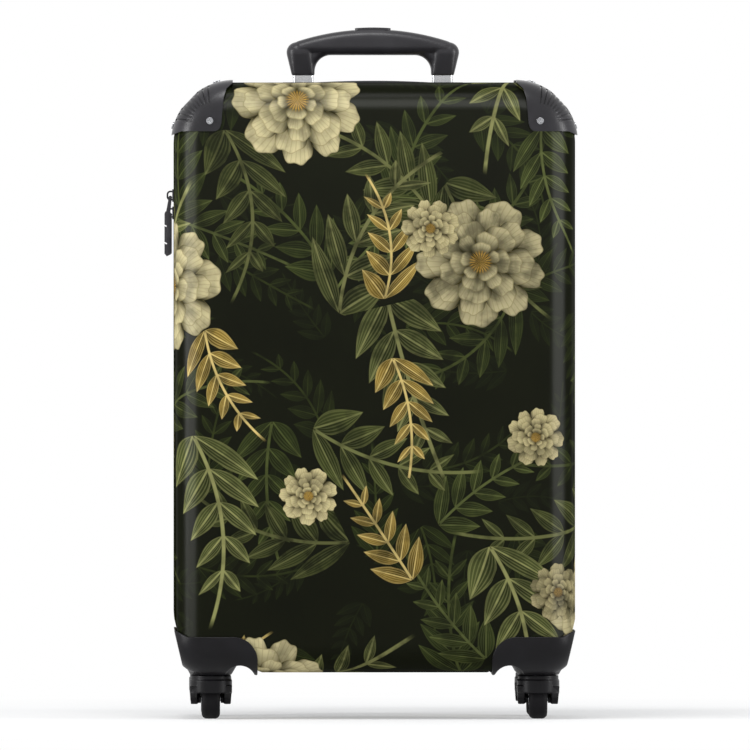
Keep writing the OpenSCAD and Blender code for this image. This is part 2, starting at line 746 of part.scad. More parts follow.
module caster_fork() color(black_plastic) difference() {
    union() {
        difference() {
            union() {
                translate([0, 0, hood_bottom]) cylinder(h = fork_top - hood_step - hood_bottom, r = hood_r);
                translate([0, 0, fork_top - hood_step - 1]) cylinder(h = hood_step + 1, r = neck_r - 0.1);
                caster_cheeks();
            }
            translate([0, trail, wheel_r]) rotate([0, 90, 0])
                cylinder(h = 2 * cheek_in, r = clear_r, center = true);
        }
        for (s = [-1, 1]) side_of(s) translate([wheel_w / 2 + 0.5, trail, wheel_r]) rotate([0, 90, 0])
            cylinder(h = cheek_in - wheel_w / 2, r = cheek_boss_r - 1);
    }
    translate([0, trail, wheel_r]) rotate([0, 90, 0]) cylinder(h = 4 * hood_r, r = axle_r, center = true);
    cylinder(h = 2 * fork_top, r = stem_r);
}

module caster_cheeks() intersection() {
    rotate([90, 0, 0]) linear_extrude(4 * hood_r, center = true) difference() {
        polygon([
            [-cheek_bottom_w, 0], [cheek_bottom_w, 0],
            [hood_r, hood_bottom + 6], [-hood_r, hood_bottom + 6]
        ]);
        translate([-cheek_in, -cut_over]) square([2 * cheek_in, 2 * wheel_r]);
    }
    rotate([90, 0, 90]) linear_extrude(4 * hood_r, center = true) {
        translate([trail, wheel_r]) circle(cheek_boss_r);
        polygon([
            [trail - cheek_boss_r, wheel_r], [trail + cheek_boss_r, wheel_r],
            [hood_r * 0.75, hood_bottom + 6], [-hood_r * 0.75, hood_bottom + 6]
        ]);
    }
}

stem_bottom = wheel_r + sqrt(clear_r * clear_r - pow(trail - stem_r, 2)) + 0.2;
module caster_stem() color(steel) translate([0, 0, stem_bottom])
    cylinder(h = stem_top - stem_bottom, r = stem_r);

module caster_axle() color(steel) translate([0, trail, wheel_r]) rotate([0, 90, 0])
    cylinder(h = 2 * (cheek_bottom_w + 0.6), r = axle_r, center = true);

tread_round = 4.5;
module caster_wheel() color(rubber_black) translate([0, trail, wheel_r]) rotate([0, 90, 0])
    rotate_extrude() difference() {
        union() {
            translate([0, -wheel_w / 2 + tread_round]) square([wheel_r, wheel_w - 2 * tread_round]);
            translate([0, -wheel_w / 2]) square([wheel_r - tread_round, wheel_w]);
            for (s = [-1, 1]) translate([wheel_r - tread_round, s * (wheel_w / 2 - tread_round)])
                circle(tread_round);
        }
        translate([0, -wheel_w]) square([axle_r + pin_gap, 2 * wheel_w]);
        for (s = [-1, 1]) translate([wheel_r * 0.36, s * wheel_w / 2 - 1.6]) square([wheel_r * 0.34, 3.2]);
    }

front_shell();
rear_shell();
top_guard_at(-1, -1);  // top_guard_front_left
top_guard_at(1, -1);  // top_guard_front_right
top_guard_at(-1, 1);  // top_guard_rear_left
top_guard_at(1, 1);  // top_guard_rear_right
wheel_housing_at(-1, -1);  // wheel_housing_front_left
wheel_housing_at(1, -1);  // wheel_housing_front_right
wheel_housing_at(-1, 1);  // wheel_housing_rear_left
wheel_housing_at(1, 1);  // wheel_housing_rear_right
color(steel) front_half() at_guard_screws() screw();  // guard_screws_front
color(steel) rear_half() at_guard_screws() screw();  // guard_screws_rear
color(tape_black) front_half() zip_tape();  // zip_tape_front
color(tape_black) rear_half() zip_tape();  // zip_tape_rear
color(rubber_black) front_half() zip_chain();  // zip_chain_front
color(rubber_black) rear_half() zip_chain();  // zip_chain_rear
zip_slider(slider_z);  // zip_slider_upper
zip_slider(lower_slider_z);  // zip_slider_lower
zip_pull(slider_z, -1);  // zip_pull_upper
zip_pull(lower_slider_z, 1);  // zip_pull_lower
lining_front();
lining_rear();
trolley_cover();
at_tube(-1) outer_tube();  // outer_tube_left
at_tube(1) outer_tube();  // outer_tube_right
at_tube(-1) middle_tube();  // middle_tube_left
at_tube(1) middle_tube();  // middle_tube_right
at_tube(-1) inner_tube();  // inner_tube_left
at_tube(1) inner_tube();  // inner_tube_right
tube_collar(-1);  // tube_collar_left
tube_collar(1);  // tube_collar_right
tube_foot(-1);  // tube_foot_left
tube_foot(1);  // tube_foot_right
trolley_grip();
release_button();
carry_recess();
carry_handle();
carry_pins();
at_caster(-1, -1) caster_fork();  // caster_fork_front_left
at_caster(-1, -1) caster_stem();  // caster_stem_front_left
at_caster(-1, -1) caster_axle();  // caster_axle_front_left
at_caster(-1, -1) caster_wheel();  // caster_wheel_front_left
at_caster(1, -1) caster_fork();  // caster_fork_front_right
at_caster(1, -1) caster_stem();  // caster_stem_front_right
at_caster(1, -1) caster_axle();  // caster_axle_front_right
at_caster(1, -1) caster_wheel();  // caster_wheel_front_right
at_caster(-1, 1) caster_fork();  // caster_fork_rear_left
at_caster(-1, 1) caster_stem();  // caster_stem_rear_left
at_caster(-1, 1) caster_axle();  // caster_axle_rear_left
at_caster(-1, 1) caster_wheel();  // caster_wheel_rear_left
at_caster(1, 1) caster_fork();  // caster_fork_rear_right
at_caster(1, 1) caster_stem();  // caster_stem_rear_right
at_caster(1, 1) caster_axle();  // caster_axle_rear_right
at_caster(1, 1) caster_wheel();  // caster_wheel_rear_right
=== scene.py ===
import math

import bmesh
import bpy
from mathutils import Matrix, Vector


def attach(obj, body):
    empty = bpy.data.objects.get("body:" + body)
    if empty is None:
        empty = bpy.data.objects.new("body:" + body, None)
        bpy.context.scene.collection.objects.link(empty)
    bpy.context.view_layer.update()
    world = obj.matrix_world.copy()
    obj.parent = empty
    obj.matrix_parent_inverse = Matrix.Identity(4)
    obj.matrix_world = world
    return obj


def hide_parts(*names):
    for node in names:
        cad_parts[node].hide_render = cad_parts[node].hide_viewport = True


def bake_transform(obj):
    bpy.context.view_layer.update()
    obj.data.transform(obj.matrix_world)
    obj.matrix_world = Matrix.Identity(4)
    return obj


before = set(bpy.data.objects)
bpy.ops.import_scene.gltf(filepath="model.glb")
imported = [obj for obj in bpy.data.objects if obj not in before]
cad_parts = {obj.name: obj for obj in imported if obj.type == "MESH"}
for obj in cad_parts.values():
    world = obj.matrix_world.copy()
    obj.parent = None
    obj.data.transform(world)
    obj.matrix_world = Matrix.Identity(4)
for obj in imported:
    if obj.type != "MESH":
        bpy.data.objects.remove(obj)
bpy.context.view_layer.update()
bpy.context.scene.view_settings.view_transform = "Standard"


# Camera: a long lens straight at the front, a touch from the left and from above.
# The photograph's square frame spans 646.5 mm at the case's front face.
FRONT_Y = -0.100
FRAME_SPAN = 0.6465
AIM = Vector((0.0, FRONT_Y, 0.2974))
CAMERA_DISTANCE = 20.0
CAMERA_LEFT = 0.22
CAMERA_RISE = 0.17

camera_data = bpy.data.cameras.new("front_camera")
camera_data.sensor_width = 36.0
camera_data.lens = camera_data.sensor_width * CAMERA_DISTANCE / FRAME_SPAN
camera_data.clip_end = 100.0
camera = bpy.data.objects.new("front_camera", camera_data)
bpy.context.scene.collection.objects.link(camera)
camera.location = AIM + Vector((-CAMERA_LEFT, -CAMERA_DISTANCE, CAMERA_RISE))
camera.rotation_euler = (AIM - camera.location).to_track_quat("-Z", "Y").to_euler()
bpy.context.scene.camera = camera


# Floor, backdrop and lights: a pale studio floor that keeps the soft shadow,
# a white surround for the camera and for reflections, and large soft lamps.
BLEACH_FROM, BLEACH_TO, BLEACH_MIDDLE = 0.30, 0.85, 0.35


def deselect_all():
    if bpy.context.mode != "OBJECT":
        bpy.ops.object.mode_set(mode="OBJECT")
    bpy.ops.object.select_all(action="DESELECT")


def new_material(name):
    material = bpy.data.materials.new(name)
    material.use_nodes = True
    return material, material.node_tree.nodes, material.node_tree.links


def feed(tree, socket, value):
    if isinstance(value, bpy.types.NodeSocket):
        tree.links.new(value, socket)
    else:
        socket.default_value = value


def calc(tree, operation, *values, clamp=False):
    node = tree.nodes.new("ShaderNodeMath")
    node.operation = operation
    node.use_clamp = clamp
    for socket, value in zip(node.inputs, values):
        feed(tree, socket, value)
    return node.outputs[0]


def between(tree, value, low, high):
    node = tree.nodes.new("ShaderNodeMapRange")
    node.interpolation_type = "SMOOTHSTEP"
    for name, source in (("Value", value), ("From Min", low), ("From Max", high)):
        feed(tree, node.inputs[name], source)
    return node.outputs[0]


def seen_rays(tree):
    """Rays that show the backdrop: to the camera, off gloss and through clear stuff."""
    path = tree.nodes.new("ShaderNodeLightPath")
    seen = calc(tree, "MAXIMUM", path.outputs["Is Camera Ray"], path.outputs["Is Glossy Ray"])
    return calc(tree, "MAXIMUM", seen, path.outputs["Is Transmission Ray"])


deselect_all()
bpy.ops.mesh.primitive_plane_add(size=60.0, location=(0.0, 0.0, 0.0))
floor = bpy.context.object
floor.name = "studio_floor"
floor_material, nodes, links = new_material("floor_white")
tree = floor_material.node_tree
matt = nodes["Principled BSDF"]
matt.inputs["Base Color"].default_value = (0.95, 0.95, 0.95, 1.0)
matt.inputs["Roughness"].default_value = 0.9
matt.inputs["Specular IOR Level"].default_value = 0.1
white_card = nodes.new("ShaderNodeEmission")
floor_place = nodes.new("ShaderNodeTexCoord")
from_middle = nodes.new("ShaderNodeVectorMath")
from_middle.operation = "LENGTH"
links.new(floor_place.outputs["Object"], from_middle.inputs[0])
far = between(tree, from_middle.outputs["Value"], BLEACH_FROM, BLEACH_TO)
floor_mix = nodes.new("ShaderNodeMixShader")
bleach = calc(tree, "MULTIPLY_ADD", far, 1.0 - BLEACH_MIDDLE, BLEACH_MIDDLE)
links.new(calc(tree, "MULTIPLY", bleach, seen_rays(tree)), floor_mix.inputs["Fac"])
links.new(matt.outputs["BSDF"], floor_mix.inputs[1])
links.new(white_card.outputs["Emission"], floor_mix.inputs[2])
links.new(floor_mix.outputs["Shader"], nodes["Material Output"].inputs["Surface"])
floor.data.materials.append(floor_material)

world = bpy.data.worlds.new("studio")
bpy.context.scene.world = world
world.use_nodes = True
nodes, links = world.node_tree.nodes, world.node_tree.links
room = nodes["Background"]
room.inputs["Color"].default_value = (0.80, 0.82, 0.85, 1.0)
room.inputs["Strength"].default_value = 0.55
white = nodes.new("ShaderNodeBackground")
white.inputs["Color"].default_value = (1.0, 1.0, 1.0, 1.0)
white.inputs["Strength"].default_value = 1.0
room_mix = nodes.new("ShaderNodeMixShader")
links.new(seen_rays(world.node_tree), room_mix.inputs["Fac"])
links.new(room.outputs["Background"], room_mix.inputs[1])
links.new(white.outputs["Background"], room_mix.inputs[2])
links.new(room_mix.outputs["Shader"], nodes["World Output"].inputs["Surface"])


def soft_lamp(name, place, target, size, power):
    data = bpy.data.lights.new(name, "AREA")
    data.shape = "RECTANGLE"
    data.size, data.size_y = size
    data.energy = power
    lamp = bpy.data.objects.new(name, data)
    lamp.location = place
    lamp.rotation_euler = (Vector(target) - Vector(place)).to_track_quat("-Z", "Y").to_euler()
    bpy.context.scene.collection.objects.link(lamp)
    return lamp


soft_lamp("top_softbox", (-0.2, -0.8, 2.2), (0.0, -0.1, 0.4), (0.9, 0.5), 20.0)
soft_lamp("left_softbox", (-2.1, -0.85, 0.7), (0.0, -0.05, 0.3), (0.45, 1.5), 34.0)
soft_lamp("right_softbox", (2.1, -0.85, 0.7), (0.0, -0.05, 0.3), (0.45, 1.5), 27.0)
soft_lamp("back_softbox", (0.3, 2.2, 1.5), (0.0, 0.1, 0.3), (1.6, 1.4), 5.0)

# Three wide lamps add only gloss, and only to the shells: the broad sheen on their rolled edges
SHEEN_LAMPS = [
    ("left_sheen", (-1.76, -1.53, 0.3), (1.7, 1.6), 140.0),
    ("right_sheen", (1.64, -1.69, 0.3), (1.7, 1.6), 140.0),
    ("top_sheen", (0.0, -2.0, 1.65), (1.6, 1.3), 95.0)]
shells_lit = bpy.data.collections.new("shells_lit")
for name, place, size, power in SHEEN_LAMPS:
    lamp = soft_lamp(name, place, (0.0, FRONT_Y, 0.3), size, power)
    lamp.visible_diffuse = False
    lamp.light_linking.receiver_collection = shells_lit


# Print on the shells: an all-over botanical film under the shell's satin skin.
# Leafy sprigs, layered blooms and gold sprays lie over a near-black olive ground.
def paint(code):
    def linear(value):
        value /= 255.0
        return value / 12.92 if value <= 0.04045 else ((value + 0.055) / 1.055) ** 2.4
    return tuple(linear(int(code[i:i + 2], 16)) for i in (0, 2, 4)) + (1.0,)


def mix_colour(tree, factor, first, second):
    node = tree.nodes.new("ShaderNodeMix")
    node.data_type = "RGBA"
    feed(tree, node.inputs[0], factor)
    feed(tree, node.inputs[6], first)
    feed(tree, node.inputs[7], second)
    return node.outputs[2]


def effect_group(name, inputs, outputs):
    tree = bpy.data.node_groups.new(name, "ShaderNodeTree")
    for label, kind in inputs:
        tree.interface.new_socket(label, in_out="INPUT", socket_type="NodeSocket" + kind)
    for label, kind in outputs:
        tree.interface.new_socket(label, in_out="OUTPUT", socket_type="NodeSocket" + kind)
    return tree, tree.nodes.new("NodeGroupInput").outputs, tree.nodes.new("NodeGroupOutput").inputs


def vector_calc(tree, operation, first, second=None, scale=None):
    node = tree.nodes.new("ShaderNodeVectorMath")
    node.operation = operation
    tree.links.new(first, node.inputs[0])
    if second is not None:
        tree.links.new(second, node.inputs[1])
    if scale is not None:
        tree.links.new(scale, node.inputs["Scale"])
    return node.outputs[0]


def turn_flat(tree, vector, angle):
    node = tree.nodes.new("ShaderNodeVectorRotate")
    node.rotation_type = "Z_AXIS"
    tree.links.new(vector, node.inputs["Vector"])
    tree.links.new(angle, node.inputs["Angle"])
    return node.outputs[0]


def scatter(tree, source, jitter):
    """One motif per cell: gives the place inside the cell, turned at random, and two random values."""
    shifted = vector_calc(tree, "ADD", source["Print"], source["Shift"])
    scaled = vector_calc(tree, "SCALE", shifted, scale=calc(tree, "DIVIDE", 1.0, source["Spacing"]))
    turned = turn_flat(tree, scaled, source["Lay"])
    cells = tree.nodes.new("ShaderNodeTexVoronoi")
    cells.voronoi_dimensions = "2D"
    cells.feature = "F1"
    cells.inputs["Scale"].default_value = 1.0
    cells.inputs["Randomness"].default_value = jitter
    tree.links.new(turned, cells.inputs["Vector"])
    offset = vector_calc(tree, "SUBTRACT", turned, cells.outputs["Position"])
    chance = tree.nodes.new("ShaderNodeSeparateColor")
    tree.links.new(cells.outputs["Color"], chance.inputs[0])
    spun = turn_flat(tree, offset, calc(tree, "MULTIPLY", chance.outputs[0], 2.0 * math.pi))
    place = tree.nodes.new("ShaderNodeSeparateXYZ")
    tree.links.new(spun, place.inputs[0])
    return place.outputs[0], place.outputs[1], chance.outputs[1], chance.outputs[2]


def noise(tree, vector, scale, detail):
    node = tree.nodes.new("ShaderNodeTexNoise")
    tree.links.new(vector, node.inputs["Vector"])
    feed(tree, node.inputs["Scale"], scale)
    node.inputs["Detail"].default_value = detail
    return node.outputs[0]


def add_relief(tree, shader, height, strength, distance):
    bump = tree.nodes.new("ShaderNodeBump")
    bump.inputs["Strength"].default_value = strength
    bump.inputs["Distance"].default_value = distance
    tree.links.new(height, bump.inputs["Height"])
    tree.links.new(bump.outputs[0], shader.inputs["Normal"])


MOTIF_INPUTS = [("Print", "Vector"), ("Shift", "Vector"), ("Spacing", "Float"), ("Lay", "Float")]

# A sprig, in shares of its cell: a bowed stem with slanting leaflets that shorten towards its tip
SPRIG_JITTER = 0.45
STEM_LENGTH, STEM_BOW = 0.86, 0.7
STEM_HALF_WIDTH, STEM_START, STEM_END = 0.011, 0.02, 0.06
LEAF_STEP, LAST_LEAF = 0.15, 4.0
LEAF_SLANT = math.radians(42.0)
LEAF_LENGTH, LEAF_HALF_WIDTH, LEAF_SHRINK = 0.30, 0.056, 0.75
LEAF_SOFT_EDGE = 0.006
STROKE_COUNT, STROKE_LEAN = 24.0, 2.5
tree, given, gives = effect_group(
    "sprigs", MOTIF_INPUTS, [("Mask", "Float"), ("Vein", "Float"), ("Shade", "Float"), ("Tone", "Float")])
along, across, bow, tone = scatter(tree, given, SPRIG_JITTER)
bent = calc(tree, "MULTIPLY_ADD", calc(tree, "MULTIPLY", along, along),
            calc(tree, "MULTIPLY_ADD", bow, 2.0 * STEM_BOW, -STEM_BOW), across)
run = calc(tree, "ADD", along, STEM_LENGTH / 2)
side = calc(tree, "ABSOLUTE", bent)
index = calc(tree, "ROUND", calc(tree, "DIVIDE", calc(
    tree, "MULTIPLY_ADD", side, -1.0 / math.tan(LEAF_SLANT), run), LEAF_STEP))
index = calc(tree, "MINIMUM", calc(tree, "MAXIMUM", index, 0.0), LAST_LEAF)
base = calc(tree, "MULTIPLY", index, LEAF_STEP)
reach = calc(tree, "SUBTRACT", run, base)
slant_cos, slant_sin = math.cos(LEAF_SLANT), math.sin(LEAF_SLANT)
leaf_x = calc(tree, "MULTIPLY_ADD", side, slant_sin, calc(tree, "MULTIPLY", reach, slant_cos))
leaf_y = calc(tree, "MULTIPLY_ADD", side, slant_cos, calc(tree, "MULTIPLY", reach, -slant_sin))
size = calc(tree, "MULTIPLY_ADD", base, -LEAF_SHRINK / STEM_LENGTH, 1.0)
along_leaf = calc(tree, "DIVIDE", leaf_x, calc(tree, "MULTIPLY", size, LEAF_LENGTH))
swell = calc(tree, "MULTIPLY", along_leaf, calc(tree, "SUBTRACT", 1.0, along_leaf))
swell = calc(tree, "MULTIPLY", swell, 4.0)
fuller_base = calc(tree, "MULTIPLY_ADD", along_leaf, -0.55, 1.25)
swell = calc(tree, "MULTIPLY", calc(tree, "MAXIMUM", swell, 0.0), fuller_base)
half_width = calc(tree, "MULTIPLY", swell, calc(tree, "MULTIPLY", size, LEAF_HALF_WIDTH))
off_rib = calc(tree, "ABSOLUTE", leaf_y)
from_edge = calc(tree, "SUBTRACT", half_width, off_rib)
leaf = between(tree, from_edge, 0.0, LEAF_SOFT_EDGE)
in_stem = calc(tree, "MULTIPLY", between(tree, run, 0.0, STEM_START),
               between(tree, run, STEM_LENGTH, STEM_LENGTH - STEM_END))
stem = calc(tree, "MULTIPLY", between(tree, side, STEM_HALF_WIDTH, 0.006), in_stem)
tree.links.new(calc(tree, "MAXIMUM", leaf, stem), gives["Mask"])
rib = between(tree, off_rib, 0.006, 0.002)
across_leaf = calc(tree, "DIVIDE", off_rib, calc(tree, "MAXIMUM", half_width, 0.004))
strokes = calc(tree, "SINE", calc(tree, "MULTIPLY_ADD", across_leaf, STROKE_COUNT,
                                  calc(tree, "MULTIPLY", along_leaf, STROKE_LEAN)))
brighter_tip = calc(tree, "MULTIPLY_ADD", along_leaf, 0.40, 0.22)
strokes = calc(tree, "MULTIPLY", between(tree, strokes, -0.2, 1.0), brighter_tip)
edge = between(tree, from_edge, 0.010, 0.003)
vein = calc(tree, "MAXIMUM", calc(tree, "MAXIMUM", rib, strokes), calc(tree, "MULTIPLY", edge, 0.6))
tree.links.new(calc(tree, "MAXIMUM", vein, stem), gives["Vein"])
light_half = between(tree, leaf_y, -0.01, 0.01)
lighter_tip = calc(tree, "MULTIPLY", along_leaf, 0.65)
tree.links.new(calc(tree, "MULTIPLY_ADD", light_half, 0.35, lighter_tip), gives["Shade"])
tree.links.new(tone, gives["Tone"])
sprigs = tree

# A bloom: rings of notched petals round a gold middle, each ring laid over the last;
# a ring has its radius, its count of petals and its turn
PETAL_RINGS = [(1.0, 9.0, 0.0), (0.83, 8.0, 0.37), (0.65, 7.0, 0.71), (0.47, 6.0, 0.15), (0.31, 5.0, 0.55)]
BLOOM_JITTER = 0.35
PETAL_UNEVEN, PETAL_NOTCH, PETAL_SOFT_EDGE = 0.16, 0.24, 0.012
FRILL_WAVES, FRILL_DEPTH = 9.0, 0.018
PETAL_RIBS, RIB_CURL = 26.0, 5.0
HEART_EDGE, HEART_FULL = 0.20, 0.12
SEED_SPIRALS, SEED_PITCH = (13.0, -8.0), 24.0
tree, given, gives = effect_group(
    "blooms", MOTIF_INPUTS + [("Radius", "Float")],
    [("Mask", "Float"), ("Shade", "Float"), ("Line", "Float"), ("Gold", "Float"), ("Tone", "Float")])
bloom_x, bloom_y, _, tone = scatter(tree, given, BLOOM_JITTER)
distance = calc(tree, "SQRT", calc(tree, "ADD", calc(tree, "MULTIPLY", bloom_x, bloom_x),
                                   calc(tree, "MULTIPLY", bloom_y, bloom_y)))
distance = calc(tree, "DIVIDE", distance, given["Radius"])
angle = calc(tree, "DIVIDE", calc(tree, "ARCTAN2", bloom_y, bloom_x), 2.0 * math.pi)
shade, line, mask = 0.0, 0.0, None
for ring_radius, petals, phase in PETAL_RINGS:
    turn = calc(tree, "MULTIPLY_ADD", angle, petals, phase + 5.0)
    uneven = calc(tree, "SINE", calc(tree, "MULTIPLY_ADD", angle, 4.0 * math.pi, phase * 9.0))
    turn = calc(tree, "ADD", turn, calc(tree, "MULTIPLY", uneven, PETAL_UNEVEN))
    swing = calc(tree, "MULTIPLY", calc(tree, "SUBTRACT", calc(tree, "FRACT", turn), 0.5), 2.0)
    spread = calc(tree, "ABSOLUTE", swing)
    frill = calc(tree, "SINE", calc(tree, "MULTIPLY", swing, FRILL_WAVES))
    frill = calc(tree, "MULTIPLY", frill, FRILL_DEPTH)
    rim = calc(tree, "MULTIPLY_ADD", calc(tree, "POWER", spread, 3.0), -PETAL_NOTCH, 1.0)
    rim = calc(tree, "MULTIPLY", calc(tree, "ADD", rim, frill), ring_radius)
    inside = calc(tree, "SUBTRACT", rim, distance)
    ring_mask = between(tree, inside, 0.0, PETAL_SOFT_EDGE)
    depth = calc(tree, "DIVIDE", distance, rim)
    petal_shade = calc(tree, "MULTIPLY_ADD", between(tree, depth, 0.45, 1.0), 0.75, 0.10)
    petal_shade = calc(tree, "MULTIPLY", petal_shade, between(tree, spread, 1.05, 0.45))
    ribs = calc(tree, "SINE", calc(tree, "MULTIPLY_ADD", swing, PETAL_RIBS,
                                   calc(tree, "MULTIPLY", distance, RIB_CURL)))
    petal_line = calc(tree, "MULTIPLY", between(tree, ribs, 0.55, 1.0), 0.5)
    petal_line = calc(tree, "MAXIMUM", petal_line, between(tree, inside, 0.030, PETAL_SOFT_EDGE))
    gap = between(tree, spread, 0.90, 1.0)
    petal_shade = calc(tree, "MULTIPLY", petal_shade, calc(tree, "SUBTRACT", 1.0, gap))
    keep = calc(tree, "SUBTRACT", 1.0, ring_mask)
    shade = calc(tree, "MULTIPLY_ADD", petal_shade, ring_mask, calc(tree, "MULTIPLY", shade, keep))
    line = calc(tree, "MULTIPLY_ADD", petal_line, ring_mask, calc(tree, "MULTIPLY", line, keep))
    mask = ring_mask if mask is None else calc(tree, "MAXIMUM", mask, ring_mask)
tree.links.new(mask, gives["Mask"])
tree.links.new(shade, gives["Shade"])
tree.links.new(line, gives["Line"])
seeds = None
for spiral in SEED_SPIRALS:
    wound = calc(tree, "MULTIPLY_ADD", angle, spiral, calc(tree, "MULTIPLY", distance, SEED_PITCH))
    arm = calc(tree, "SINE", calc(tree, "MULTIPLY", wound, 2.0 * math.pi))
    seeds = arm if seeds is None else calc(tree, "MULTIPLY", seeds, arm)
tree.links.new(calc(tree, "MULTIPLY", between(tree, distance, HEART_EDGE, HEART_FULL),
                    between(tree, seeds, -0.2, 0.5)), gives["Gold"])
tree.links.new(tone, gives["Tone"])
blooms = tree

# Every layer of the print, from the ground upwards: motif, cell size in metres, shift, lay, share of
# the cells that hold one, the colours of its dark, its light and its strokes, and a bloom's radius
PRINT_LAYERS = [
    (sprigs, 0.080, (0.31, 0.17, 0.0), 0.4, 0.95, "0b0e04", "161b08", "1e240b", None),
    (sprigs, 0.112, (0.83, 0.45, 0.0), 1.1, 0.90, "0d1104", "20270d", "343b19", None),
    (sprigs, 0.150, (0.12, 0.71, 0.0), 2.3, 0.60, "101505", "2c3414", "4f572c", None),
    (sprigs, 0.134, (0.61, 0.08, 0.0), 1.9, 0.52, "111606", "343c18", "5c6336", None),
    (sprigs, 0.176, (0.55, 0.23, 0.0), 0.8, 0.70, "131807", "414820", "777a49", None),
    (sprigs, 0.196, (0.38, 0.52, 0.0), 2.7, 0.75, "161c08", "4d542a", "92925c", None),
    (sprigs, 0.128, (0.74, 0.36, 0.0), 1.7, 0.22, "352b0b", "94792f", "dcc47c", None),
    (blooms, 0.214, (0.27, 0.64, 0.0), 0.5, 0.46, "26220c", "d9cd9d", "75693b", 0.262),
    (blooms, 0.168, (0.46, 0.91, 0.0), 1.3, 0.14, "2b2510", "d4c794", "6f6136", 0.15),
]
GROUND_DARK, GROUND_LIGHT, PRINT_SHADOW, SEED_GOLD = "060701", "101305", "0d1005", "c79a3a"
PETAL_LINE, LEAF_LINE = 0.55, 0.8
DEEPEST, SMUDGE = 0.50, 0.38
shell_material, nodes, links = new_material("printed_satin_shell")
tree = shell_material.node_tree
print_map = nodes.new("ShaderNodeUVMap")
print_map.uv_map = "print"
clouds = noise(tree, print_map.outputs[0], 14.0, 4.0)
colour = mix_colour(tree, clouds, paint(GROUND_DARK), paint(GROUND_LIGHT))
brush = noise(tree, print_map.outputs[0], 55.0, 5.0)
smudge = calc(tree, "MULTIPLY", between(tree, brush, 0.42, 0.66), SMUDGE)
for motif, spacing, shift, lay, share, dark, light, strokes, radius in PRINT_LAYERS:
    layer = nodes.new("ShaderNodeGroup")
    layer.node_tree = motif
    links.new(print_map.outputs[0], layer.inputs["Print"])
    layer.inputs["Shift"].default_value = shift
    layer.inputs["Spacing"].default_value = spacing
    layer.inputs["Lay"].default_value = lay
    tint = mix_colour(tree, layer.outputs["Shade"], paint(dark), paint(light))
    if motif is blooms:
        layer.inputs["Radius"].default_value = radius
        lines = calc(tree, "MULTIPLY", layer.outputs["Line"], PETAL_LINE)
        tint = mix_colour(tree, lines, tint, paint(strokes))
        tint = mix_colour(tree, layer.outputs["Gold"], tint, paint(SEED_GOLD))
    else:
        lines = calc(tree, "MULTIPLY", layer.outputs["Vein"], LEAF_LINE)
        tint = mix_colour(tree, lines, tint, paint(strokes))
    deep = calc(tree, "MULTIPLY_ADD", layer.outputs["Tone"], DEEPEST / share, smudge)
    tint = mix_colour(tree, deep, tint, paint(PRINT_SHADOW))
    held = calc(tree, "LESS_THAN", layer.outputs["Tone"], share)
    colour = mix_colour(tree, calc(tree, "MULTIPLY", layer.outputs["Mask"], held), colour, tint)
skin = nodes["Principled BSDF"]
links.new(colour, skin.inputs["Base Color"])
# The sheen fades out where the shell turns away, or a pale line of the white surround would edge it
SHEEN, SHEEN_ENDS = 0.05, 0.80
turned_away = nodes.new("ShaderNodeLayerWeight")
links.new(calc(tree, "MULTIPLY_ADD", turned_away.outputs["Facing"], -SHEEN / SHEEN_ENDS, SHEEN, clamp=True),
          skin.inputs["Specular IOR Level"])
film_place = nodes.new("ShaderNodeTexCoord")
film = noise(tree, film_place.outputs["Object"], 900.0, 2.0)
links.new(calc(tree, "MULTIPLY_ADD", film, 0.08, 0.25), skin.inputs["Roughness"])
add_relief(tree, skin, film, 0.04, 0.0003)


# Half shells: sheets of plastic formed over a mould, with a rolled edge round the
# face; the sides lean in at the bottom over a sloping bay at each corner for the casters.
CASE_WIDTH, SHELL_BOTTOM, SHELL_TOP = 0.346, 0.0405, 0.5495
FACE_DEPTH, RIM_DEPTH = 0.100, 0.010
TOP_CORNER, BOTTOM_CORNER, EDGE_ROLL, SHELL_WALL = 0.052, 0.028, 0.024, 0.0025
BAY_TOP, BAY_RUN = 0.072, 0.076
LEAN_TOP, LEAN = 0.087, math.radians(13.2)
MIDDLE_Z = 0.3
CLOSE = 1e-5


def select_edges(piece, test):
    bpy.ops.object.mode_set(mode="EDIT")
    bpy.ops.mesh.select_mode(type="EDGE")
    bpy.ops.mesh.select_all(action="DESELECT")
    work = bmesh.from_edit_mesh(piece.data)
    for edge in work.edges:
        edge.select_set(test(edge.verts[0].co, edge.verts[1].co))
    bmesh.update_edit_mesh(piece.data)


def print_place(x, depth, z):
    """Where a point of the shell lies on the flat print, which runs out over the rolled edge."""
    corner = TOP_CORNER if z > MIDDLE_Z else BOTTOM_CORNER
    limit_x = CASE_WIDTH / 2 - EDGE_ROLL
    low, high = SHELL_BOTTOM + EDGE_ROLL, SHELL_TOP - EDGE_ROLL
    radius = corner - EDGE_ROLL
    core_x = min(max(x, -limit_x + radius), limit_x - radius)
    core_z = min(max(z, low + radius), high - radius)
    out = Vector((x - core_x, z - core_z))
    span = out.length
    if span <= radius:
        return x, z
    out /= span
    beyond = min(span - radius, EDGE_ROLL)
    if depth > EDGE_ROLL:
        run_out = EDGE_ROLL * math.pi / 2 + depth - EDGE_ROLL
    else:
        run_out = EDGE_ROLL * math.asin(min(beyond / EDGE_ROLL, 1.0))
    return core_x + out.x * (radius + run_out), core_z + out.y * (radius + run_out)


def apply_modifier(piece, kind, **settings):
    """Adds a modifier with these settings to the active piece and applies it."""
    modifier = piece.modifiers.new(kind.lower(), kind)
    for name, value in settings.items():
        setattr(modifier, name, value)
    bpy.ops.object.modifier_apply(modifier=modifier.name)


def face_outwards():
    """Turns the faces of the active piece outwards."""
    bpy.ops.object.mode_set(mode="EDIT")
    bpy.ops.mesh.select_all(action="SELECT")
    bpy.ops.mesh.normals_make_consistent(inside=False)
    bpy.ops.object.mode_set(mode="OBJECT")


